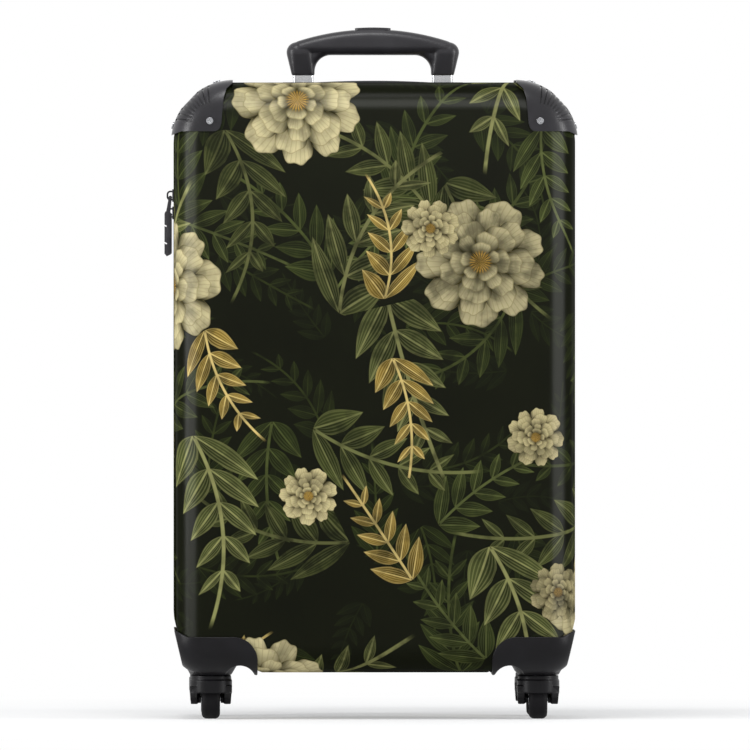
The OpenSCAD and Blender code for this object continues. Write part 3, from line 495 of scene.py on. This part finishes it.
def half_shell(name, body, node, way):
    deselect_all()
    middle = way * (FACE_DEPTH + RIM_DEPTH) / 2
    bpy.ops.mesh.primitive_cube_add(
        size=1.0, location=(0.0, middle, (SHELL_TOP + SHELL_BOTTOM) / 2),
        scale=(CASE_WIDTH, FACE_DEPTH - RIM_DEPTH, SHELL_TOP - SHELL_BOTTOM))
    shell = bpy.context.object
    shell.name = name
    bpy.ops.object.transform_apply(location=True, rotation=True, scale=True)
    for radius, level, steps in ((TOP_CORNER, SHELL_TOP, 24), (BOTTOM_CORNER, SHELL_BOTTOM, 16)):
        select_edges(shell, lambda a, b: abs(a.y - b.y) > RIM_DEPTH and abs(a.z - level) < CLOSE)
        bpy.ops.mesh.bevel(offset=radius, segments=steps, affect="EDGES", clamp_overlap=False)
    face = way * FACE_DEPTH
    select_edges(shell, lambda a, b: abs(a.y - face) < CLOSE and abs(b.y - face) < CLOSE)
    bpy.ops.mesh.bevel(offset=EDGE_ROLL, segments=14, affect="EDGES", clamp_overlap=False)
    slope = math.atan2(BAY_TOP - SHELL_BOTTOM, BAY_RUN)
    for hand in (-1, 1):
        for level, out, down in ((LEAN_TOP, math.cos(LEAN), math.sin(LEAN)),
                                 (BAY_TOP, math.sin(slope), math.cos(slope))):
            bpy.ops.mesh.select_all(action="SELECT")
            bpy.ops.mesh.bisect(plane_co=(hand * CASE_WIDTH / 2, 0.0, level),
                                plane_no=(hand * out, 0.0, -down), use_fill=True, clear_outer=True)
    bpy.ops.mesh.select_all(action="DESELECT")
    work = bmesh.from_edit_mesh(shell.data)
    rim = way * RIM_DEPTH
    rim_faces = [f for f in work.faces if all(abs(v.co.y - rim) < CLOSE for v in f.verts)]
    bmesh.ops.delete(work, geom=rim_faces, context="FACES_ONLY")
    bmesh.update_edit_mesh(shell.data)
    face_outwards()
    apply_modifier(shell, "SOLIDIFY", thickness=SHELL_WALL, offset=-1.0, use_even_offset=True)
    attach(shell, body)
    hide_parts(node)
    return shell


def lay_print(shell, mirror):
    layer = shell.data.uv_layers.new(name="print")
    for polygon in shell.data.polygons:
        for loop in polygon.loop_indices:
            x, y, z = shell.data.vertices[shell.data.loops[loop].vertex_index].co
            layer.data[loop].uv = print_place(mirror * x, FACE_DEPTH - abs(y), z)


front_shell = half_shell("front_half_shell", "front_half", "front_shell", -1)
rear_shell = half_shell("rear_half_shell", "rear_half", "rear_shell", 1)
for shell, mirror in ((front_shell, 1.0), (rear_shell, -1.0)):
    shell.data.materials.clear()
    shell.data.materials.append(shell_material)
    shells_lit.objects.link(shell)
    lay_print(shell, mirror)


# Openings in the back shell's top: two for the trolley tubes' collars and one for
# the carry handle's cup, cut through the formed wall.
TUBE_X, TUBE_Y = 0.0605, 0.074
COLLAR_HOLE = (0.0276, 0.0206)
CUP_HOLE, CUP_Y = (0.1300, 0.0302), 0.0394
CUT_HEIGHT = 0.030


def pick(piece):
    """Makes a piece the active one and the only one selected."""
    deselect_all()
    piece.select_set(True)
    bpy.context.view_layer.objects.active = piece


def cut_through_top(shell, x, y, size):
    deselect_all()
    bpy.ops.mesh.primitive_cube_add(size=1.0, location=(x, y, SHELL_TOP), scale=(*size, CUT_HEIGHT))
    cutter = bpy.context.object
    bpy.ops.object.transform_apply(location=True, rotation=True, scale=True)
    pick(shell)
    apply_modifier(shell, "BOOLEAN", object=cutter, operation="DIFFERENCE", solver="EXACT")
    bpy.data.objects.remove(cutter)


for hand in (-1, 1):
    cut_through_top(rear_shell, hand * TUBE_X, TUBE_Y, COLLAR_HOLE)
cut_through_top(rear_shell, 0.0, CUP_Y, CUP_HOLE)
for shell in (front_shell, rear_shell):
    pick(shell)
    bpy.ops.object.shade_smooth_by_angle(angle=math.radians(30.0))


# Corner guards: injection-moulded dark grey plastic caps over the top corners, with a
# fan of gills round the face screw; the finish is a fine grain with faint uneven patches.
GRAIN_ROUGHNESS = 0.22
tree, given, gives = effect_group(
    "moulded_plastic",
    [("Place", "Vector"), ("Dark", "Color"), ("Light", "Color"), ("Grain Size", "Float"), ("Gloss", "Float")],
    [("Colour", "Color"), ("Roughness", "Float"), ("Height", "Float")])
grain = noise(tree, given["Place"], given["Grain Size"], 3.0)
patches = noise(tree, given["Place"], 38.0, 5.0)
tree.links.new(mix_colour(tree, between(tree, patches, 0.3, 0.75), given["Dark"], given["Light"]),
               gives["Colour"])
uneven = calc(tree, "MULTIPLY_ADD", grain, GRAIN_ROUGHNESS, -GRAIN_ROUGHNESS / 2)
tree.links.new(calc(tree, "ADD", given["Gloss"], uneven, clamp=True), gives["Roughness"])
tree.links.new(grain, gives["Height"])
moulded_plastic = tree


def plastic(name, dark, light, grain_size, gloss, bump=0.12, shine=0.18):
    material, nodes, links = new_material(name)
    place = nodes.new("ShaderNodeTexCoord")
    finish = nodes.new("ShaderNodeGroup")
    finish.node_tree = moulded_plastic
    links.new(place.outputs["Object"], finish.inputs["Place"])
    finish.inputs["Dark"].default_value = paint(dark)
    finish.inputs["Light"].default_value = paint(light)
    finish.inputs["Grain Size"].default_value = grain_size
    finish.inputs["Gloss"].default_value = gloss
    shader = nodes["Principled BSDF"]
    shader.inputs["Specular IOR Level"].default_value = shine
    links.new(finish.outputs["Colour"], shader.inputs["Base Color"])
    links.new(finish.outputs["Roughness"], shader.inputs["Roughness"])
    add_relief(material.node_tree, shader, finish.outputs["Height"], bump, 0.0004)
    return material


def add_piece(name, data):
    piece = bpy.data.objects.new(name, data)
    bpy.context.scene.collection.objects.link(piece)
    pick(piece)
    return piece


def finish_piece(piece, material, sharp=35.0):
    pick(piece)
    piece.data.materials.clear()
    piece.data.materials.append(material)
    bpy.ops.object.shade_smooth_by_angle(angle=math.radians(sharp))


def dressed_copy(node, body, material, edge, steps=2):
    """A CAD solid's own form as a closed mesh, with its sharp edges rounded as moulded."""
    piece = add_piece(node + "_piece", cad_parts[node].data.copy())
    bpy.ops.object.mode_set(mode="EDIT")
    bpy.ops.mesh.select_all(action="SELECT")
    bpy.ops.mesh.remove_doubles(threshold=1e-6)
    bpy.ops.mesh.customdata_custom_splitnormals_clear()
    bpy.ops.mesh.dissolve_limited(angle_limit=math.radians(0.3))
    bpy.ops.object.mode_set(mode="OBJECT")
    if edge:
        apply_modifier(piece, "BEVEL", width=edge, segments=steps, limit_method="ANGLE",
                       angle_limit=math.radians(40.0))
    finish_piece(piece, material)
    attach(piece, body)
    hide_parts(node)
    return piece


HALVES = ("front", "rear")
HANDS = ("left", "right")
CORNERS = [(half, hand) for half in HALVES for hand in HANDS]
guard_plastic = plastic("guard_grey_plastic", "1b1a1d", "242327", 1500.0, 0.33, shine=0.34)
for half, hand in CORNERS:
    dressed_copy(f"top_guard_{half}_{hand}", f"{half}_half", guard_plastic, 0.0004)


# Wheel housings: black moulded corner caps that gather into a round neck over each
# caster; the mould blends every face into the next, so the form is softened all over.
def blended_copy(node, body, material, voxel, rounds, share):
    """A CAD solid's own form with all its faces run into each other; a share of the faces is kept."""
    piece = dressed_copy(node, body, material, 0.0)
    apply_modifier(piece, "REMESH", mode="VOXEL", voxel_size=voxel)
    apply_modifier(piece, "SMOOTH", factor=0.5, iterations=rounds)
    apply_modifier(piece, "DECIMATE", ratio=share)
    finish_piece(piece, material, 60.0)
    return piece


housing_plastic = plastic("housing_black_plastic", "0d0c0e", "141316", 1300.0, 0.36, shine=0.16)
for half, hand in CORNERS:
    blended_copy(f"wheel_housing_{half}_{hand}", f"{half}_half",
                 housing_plastic, voxel=0.0008, rounds=5, share=0.45)


# Guard screws: small polished steel screws with a cross in the head, one driven through
# each guard's face and two through its rounded corner.
def metal(name, dark, light, rough, streak=(1.0, 1.0, 1.0), streak_size=400.0):
    material, nodes, links = new_material(name)
    tree = material.node_tree
    shader = nodes["Principled BSDF"]
    shader.inputs["Metallic"].default_value = 1.0
    place = nodes.new("ShaderNodeTexCoord")
    stretch = nodes.new("ShaderNodeMapping")
    stretch.inputs["Scale"].default_value = streak
    links.new(place.outputs["Object"], stretch.inputs["Vector"])
    brushing = noise(tree, stretch.outputs[0], streak_size, 3.0)
    links.new(mix_colour(tree, brushing, paint(dark), paint(light)), shader.inputs["Base Color"])
    links.new(calc(tree, "MULTIPLY_ADD", brushing, 0.16, rough), shader.inputs["Roughness"])
    add_relief(tree, shader, brushing, 0.05, 0.0002)
    return material


bright_steel = metal("bright_screw_steel", "77787b", "b9babd", 0.14)
plain_steel = metal("plain_steel", "8c8d90", "b0b1b4", 0.28)
for half in HALVES:
    dressed_copy(f"guard_screws_{half}", f"{half}_half", bright_steel, 0.0003, 3)


# Casters: a moulded hood with two cheeks swivels on a steel stem; the axle pin carries
# one wheel with a soft tyre on a harder hub.
for half, hand in CORNERS:
    corner = f"{half}_{hand}"
    blended_copy(f"caster_fork_{corner}", f"caster_{corner}",
                 housing_plastic, voxel=0.0005, rounds=4, share=0.5)
    dressed_copy(f"caster_stem_{corner}", f"caster_{corner}", plain_steel, 0.0003)
    dressed_copy(f"caster_axle_{corner}", f"caster_{corner}", plain_steel, 0.0005, 3)

rubber = plastic("tyre_rubber", "111012", "181719", 2200.0, 0.62, bump=0.2, shine=0.12)
hub_plastic = plastic("hub_grey_plastic", "26262a", "303035", 1500.0, 0.4)
WHEEL_RADIUS, WHEEL_WIDTH, HUB_RADIUS = 0.0175, 0.016, 0.0118
AXLE_HOLE, TREAD_ROUND, SHOULDER_STEPS = 0.00255, 0.0045, 6
WHEEL_FACE = WHEEL_WIDTH / 2


def turned_ring(name, profile, steps):
    """A closed ring about the X axis: its profile of (radius, x) points is drawn and spun."""
    mesh = bpy.data.meshes.new(name)
    mesh.from_pydata([(x, radius, 0.0) for radius, x in profile],
                     [(i, (i + 1) % len(profile)) for i in range(len(profile))], [])
    ring = add_piece(name, mesh)
    bpy.ops.object.mode_set(mode="EDIT")
    bpy.ops.mesh.select_all(action="SELECT")
    bpy.ops.mesh.spin(steps=steps, angle=2.0 * math.pi, center=(0.0, 0.0, 0.0), axis=(1.0, 0.0, 0.0))
    bpy.ops.mesh.select_all(action="SELECT")
    bpy.ops.mesh.remove_doubles(threshold=1e-6)
    face_outwards()
    return ring


def both_flanks(half):
    """A closed profile from its right half, which runs from the bore out to the tread."""
    return [(radius, -x) for radius, x in half] + half[::-1]


tyre_half = [(HUB_RADIUS, WHEEL_FACE - 0.0012), (HUB_RADIUS + 0.0004, WHEEL_FACE)]
for step in range(SHOULDER_STEPS + 1):
    bend = step / SHOULDER_STEPS * math.pi / 2
    tyre_half.append((WHEEL_RADIUS - TREAD_ROUND + TREAD_ROUND * math.sin(bend),
                      WHEEL_FACE - TREAD_ROUND + TREAD_ROUND * math.cos(bend)))
hub_half = [
    (AXLE_HOLE, WHEEL_FACE), (0.0058, WHEEL_FACE), (0.0063, WHEEL_FACE - 0.0005),
    (0.0065, WHEEL_FACE - 0.0016), (0.0104, WHEEL_FACE - 0.0016), (0.0107, WHEEL_FACE - 0.0003),
    (HUB_RADIUS - 0.0001, WHEEL_FACE - 0.0003)]
tyre_form = turned_ring("tyre_form", both_flanks(tyre_half), 64)
hub_form = turned_ring("hub_form", both_flanks(hub_half), 48)
CASTER_X, CASTER_Y, TRAIL = 0.1414, 0.058, 0.008
SIDE = {"left": -1, "right": 1, "front": -1, "rear": 1}
for half, hand in CORNERS:
    corner = f"{half}_{hand}"
    place = Matrix.Translation((CASTER_X * SIDE[hand], CASTER_Y * SIDE[half] + TRAIL, WHEEL_RADIUS))
    for form, kind, material in ((tyre_form, "tyre", rubber), (hub_form, "hub", hub_plastic)):
        piece = add_piece(f"{kind}_{corner}", form.data.copy())
        piece.data.transform(place)
        finish_piece(piece, material, 30.0)
        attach(piece, f"wheel_{corner}")
        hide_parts(f"caster_wheel_{corner}")
for form in (tyre_form, hub_form):
    bpy.data.objects.remove(form)


# Trolley tubes: drawn aluminium, three sections nested in each side, with collars let
# into the shell's top and foot brackets inside the back half.
tube_metal = metal("drawn_aluminium", "c3c4c7", "e3e4e6", 0.16,
                   streak=(1.0, 1.0, 0.02), streak_size=900.0)
handle_plastic = plastic("handle_grey_plastic", "2a292c", "333235", 1500.0, 0.36, shine=0.3)
for hand in HANDS:
    dressed_copy(f"outer_tube_{hand}", "rear_half", tube_metal, 0.0)
    dressed_copy(f"middle_tube_{hand}", "trolley_middle", tube_metal, 0.0)
    dressed_copy(f"inner_tube_{hand}", "trolley_handle", tube_metal, 0.0)
    dressed_copy(f"tube_collar_{hand}", "rear_half", handle_plastic, 0.0006, 3)
    dressed_copy(f"tube_foot_{hand}", "rear_half", handle_plastic, 0.0006)


# Trolley grip: a two-part moulded handle with a curved bar between two feet; its faces
# run into each other with soft fillets, and a sprung release button sits in the crown.
blended_copy("trolley_grip", "trolley_handle", handle_plastic,
             voxel=0.0007, rounds=8, share=0.5)
button = dressed_copy("release_button", "handle_button", handle_plastic, 0.0012, 4)
# The button's hidden foot is shorter, so that a pressed button clears the softened pocket
BUTTON_WAIST, BUTTON_LIFT = 0.591, 0.002
for vertex in button.data.vertices:
    if vertex.co.z < BUTTON_WAIST:
        vertex.co.z += BUTTON_LIFT


# Carry handle: a black moulded cup let into the top of the back half, with a grey moulded
# bail that swings on two steel pins and folds flat inside the cup.
dressed_copy("carry_recess", "rear_half", housing_plastic, 0.0006)
dressed_copy("carry_handle", "carry_bail", handle_plastic, 0.0012, 4)
dressed_copy("carry_pins", "rear_half", plain_steel, 0.0003)


# Zip: woven tapes sewn inside both rims, a moulded chain round three sides, two sliders
# with bridges and two moulded pull tabs that hang on the left side.
tape_material, nodes, links = new_material("woven_zip_tape")
tree = tape_material.node_tree
tape_place = nodes.new("ShaderNodeTexCoord")
shader = nodes["Principled BSDF"]
weave = None
for turn in (0.0, math.radians(90.0)):
    twist = nodes.new("ShaderNodeMapping")
    twist.inputs["Rotation"].default_value = (turn, math.radians(12.0), turn)
    links.new(tape_place.outputs["Object"], twist.inputs["Vector"])
    threads = nodes.new("ShaderNodeTexWave")
    threads.inputs["Scale"].default_value = 520.0
    threads.inputs["Distortion"].default_value = 0.6
    links.new(twist.outputs[0], threads.inputs["Vector"])
    weave = threads.outputs["Fac"] if weave is None else calc(tree, "MULTIPLY", weave, threads.outputs["Fac"])
links.new(mix_colour(tree, weave, paint("0e0e0f"), paint("242426")), shader.inputs["Base Color"])
shader.inputs["Roughness"].default_value = 0.85
add_relief(tree, shader, weave, 0.5, 0.0003)
chain_plastic = plastic("chain_black_plastic", "151517", "1f1f22", 2600.0, 0.34)
slider_metal = metal("slider_dark_metal", "2a2a2d", "3a3a3e", 0.30)
pull_plastic = plastic("pull_grey_plastic", "3a393c", "454447", 1800.0, 0.42)

BAY_ROUND, BOTTOM_ROUND = 0.032, 0.040
BAY_TURN = math.pi / 2 - math.atan2(BAY_TOP - SHELL_BOTTOM, BAY_RUN)
BAY_TANGENT = BAY_ROUND * math.tan(BAY_TURN / 2)
BOTTOM_TANGENT = BOTTOM_ROUND * math.tan((math.pi / 2 - BAY_TURN) / 2)
ZIP_TURNS = [
    ((CASE_WIDTH / 2 - TOP_CORNER, SHELL_TOP - TOP_CORNER), TOP_CORNER, math.pi / 2, 0.0),
    ((CASE_WIDTH / 2 - BAY_ROUND, BAY_TOP + BAY_TANGENT), BAY_ROUND, 0.0, -BAY_TURN),
    ((CASE_WIDTH / 2 - BAY_RUN - BOTTOM_TANGENT, SHELL_BOTTOM + BOTTOM_ROUND), BOTTOM_ROUND, -BAY_TURN,
     -math.pi / 2)]
ZIP_TURN_STEPS = 14


def zip_path(inset):
    """The zip's outline seen from the front, clockwise from the right end of the top edge."""
    right = []
    for (x, z), radius, first, last in ZIP_TURNS:
        for k in range(ZIP_TURN_STEPS + 1):
            a = first + (last - first) * k / ZIP_TURN_STEPS
            right.append(Vector((x + (radius - inset) * math.cos(a), z + (radius - inset) * math.sin(a))))
    return right + [Vector((-p.x, p.y)) for p in reversed(right)]


def walk(points, pitch):
    """Points and directions at even steps along a line of points."""
    steps, carry = [], 0.0
    for first, second in zip(points, points[1:]):
        span = (second - first).length
        along = (second - first) / span
        while carry < span:
            steps.append((first + along * carry, along))
            carry += pitch
        carry -= span
    return steps


TOOTH_PITCH, TOOTH_LENGTH, TOOTH_REACH = 0.0024, 0.00115, 0.0036
TOOTH_TOP, TOOTH_LOW = 0.0008, 0.0026
TOOTH_ROUND, TOOTH_OVERLAP = 0.0004, 0.0004
HINGE_CLEAR = 0.003
outline = zip_path((TOOTH_TOP + TOOTH_LOW) / 2)
hinge_top = SHELL_TOP - TOP_CORNER - HINGE_CLEAR
hinge_low = BAY_TOP + BAY_TANGENT + HINGE_CLEAR
right_low = next(i for i, p in enumerate(outline) if p.x > 0 and p.y < hinge_low)
chain_path = outline[right_low:] + outline[:ZIP_TURN_STEPS + 1]
deselect_all()
bpy.ops.mesh.primitive_cube_add(size=1.0, scale=(TOOTH_LENGTH, TOOTH_REACH, TOOTH_LOW - TOOTH_TOP))
tooth = bpy.context.object
bpy.ops.object.transform_apply(location=True, rotation=True, scale=True)
select_edges(tooth, lambda a, b: a.z > 0.0 and b.z > 0.0)
bpy.ops.mesh.bevel(offset=TOOTH_ROUND, segments=2, affect="EDGES")
bpy.ops.object.mode_set(mode="OBJECT")
teeth = walk(chain_path, TOOTH_PITCH / 2)
for first_tooth, half in enumerate(HALVES):
    vertices, faces = [], []
    reach = SIDE[half] * (TOOTH_REACH / 2 - TOOTH_OVERLAP)
    for place, along in teeth[first_tooth::2]:
        out = Vector((-along.y, along.x))
        start = len(vertices)
        for vertex in tooth.data.vertices:
            spot = place + along * vertex.co.x + out * vertex.co.z
            vertices.append((spot.x, reach + vertex.co.y, spot.y))
        faces += [[start + i for i in polygon.vertices] for polygon in tooth.data.polygons]
    mesh = bpy.data.meshes.new(f"zip_teeth_{half}")
    mesh.from_pydata(vertices, [], faces)
    teeth_row = add_piece(f"zip_teeth_{half}", mesh)
    face_outwards()
    finish_piece(teeth_row, chain_plastic, 50.0)
    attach(teeth_row, f"{half}_half")
    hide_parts(f"zip_chain_{half}")
    dressed_copy(f"zip_tape_{half}", f"{half}_half", tape_material, 0.0)
bpy.data.objects.remove(tooth)
for level in ("upper", "lower"):
    dressed_copy(f"zip_slider_{level}", f"{level}_slider", slider_metal, 0.0004, 3)
    dressed_copy(f"zip_pull_{level}", f"{level}_pull", pull_plastic, 0.0005, 3)


# Rim welts: soft black plastic piping, pressed over the cut edge of each half shell
# and run all the way round it.
WELT_RADIUS, WELT_INSET, WELT_FROM_MIDDLE = 0.0014, 0.0009, 0.0094
welt_plastic = plastic("welt_black_plastic", "121213", "1b1b1d", 1400.0, 0.5)
for half in HALVES:
    line = bpy.data.curves.new(f"rim_welt_{half}", "CURVE")
    line.dimensions = "3D"
    line.bevel_depth = WELT_RADIUS
    line.bevel_resolution = 3
    spline = line.splines.new("POLY")
    spline.use_cyclic_u = True
    path = zip_path(WELT_INSET)
    spline.points.add(len(path) - 1)
    for point, spot in zip(spline.points, path):
        point.co = (spot.x, SIDE[half] * WELT_FROM_MIDDLE, spot.y, 1.0)
    add_piece(f"rim_welt_{half}", line)
    bpy.ops.object.convert(target="MESH")
    welt = bpy.context.object
    finish_piece(welt, welt_plastic, 60.0)
    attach(welt, f"{half}_half")


# Cloth hinge: a folded strip of woven tape sewn to both halves down the right side.
HINGE_X, HINGE_HALF, HINGE_THICK = 0.1705, 0.0078, 0.0007
FOLD_HEIGHT, FOLDS = 0.0005, 3.0
deselect_all()
bpy.ops.mesh.primitive_grid_add(x_subdivisions=16, y_subdivisions=60, size=1.0)
hinge_cloth = bpy.context.object
hinge_cloth.name = "hinge_cloth"
for vertex in hinge_cloth.data.vertices:
    across, up = vertex.co.x * 2.0, vertex.co.y + 0.5
    fold = FOLD_HEIGHT * math.cos(across * math.pi * FOLDS) * (1.0 - across * across)
    vertex.co = (HINGE_X + HINGE_THICK + fold, across * HINGE_HALF,
                 hinge_low + up * (hinge_top - hinge_low))
apply_modifier(hinge_cloth, "SOLIDIFY", thickness=HINGE_THICK, offset=-1.0)
face_outwards()
finish_piece(hinge_cloth, tape_material, 60.0)
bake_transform(hinge_cloth)


# Linings: a woven grey cloth glued inside both halves; in the back half a panel of the
# same cloth on a thin board covers the trolley tubes.
lining_material, nodes, links = new_material("woven_lining")
tree = lining_material.node_tree
place = nodes.new("ShaderNodeTexCoord")
shader = nodes["Principled BSDF"]
# The pattern is unrolled over the walls, which stand at right angles to the face
spot, facing, unrolled = (nodes.new(kind) for kind in (
    "ShaderNodeSeparateXYZ", "ShaderNodeSeparateXYZ", "ShaderNodeCombineXYZ"))
links.new(place.outputs["Object"], spot.inputs[0])
links.new(place.outputs["Normal"], facing.inputs[0])
depth = calc(tree, "SUBTRACT", FACE_DEPTH, calc(tree, "ABSOLUTE", spot.outputs["Y"]))
for axis in ("X", "Z"):
    outward = calc(tree, "MULTIPLY", facing.outputs[axis], -1.0)
    links.new(calc(tree, "MULTIPLY_ADD", depth, outward, spot.outputs[axis]), unrolled.inputs[axis])
diamonds = None
for turn in (45.0, -45.0):
    twist = nodes.new("ShaderNodeMapping")
    twist.inputs["Rotation"].default_value = (0.0, math.radians(turn), 0.0)
    links.new(unrolled.outputs[0], twist.inputs["Vector"])
    lines = nodes.new("ShaderNodeTexWave")
    lines.inputs["Scale"].default_value = 12.0
    links.new(twist.outputs[0], lines.inputs["Vector"])
    band = between(tree, lines.outputs["Fac"], 0.90, 0.99)
    diamonds = band if diamonds is None else calc(tree, "MAXIMUM", diamonds, band)
threads = noise(tree, place.outputs["Object"], 1600.0, 2.0)
ground = mix_colour(tree, threads, paint("4a4a46"), paint("63635d"))
links.new(mix_colour(tree, calc(tree, "MULTIPLY", diamonds, 0.6), ground, paint("7d7c72")),
          shader.inputs["Base Color"])
shader.inputs["Roughness"].default_value = 0.8
shader.inputs["Sheen Weight"].default_value = 0.2
add_relief(tree, shader, threads, 0.3, 0.0003)
for half in HALVES:
    dressed_copy(f"lining_{half}", f"{half}_half", lining_material, 0.0)
dressed_copy("trolley_cover", "rear_half", lining_material, 0.0004)
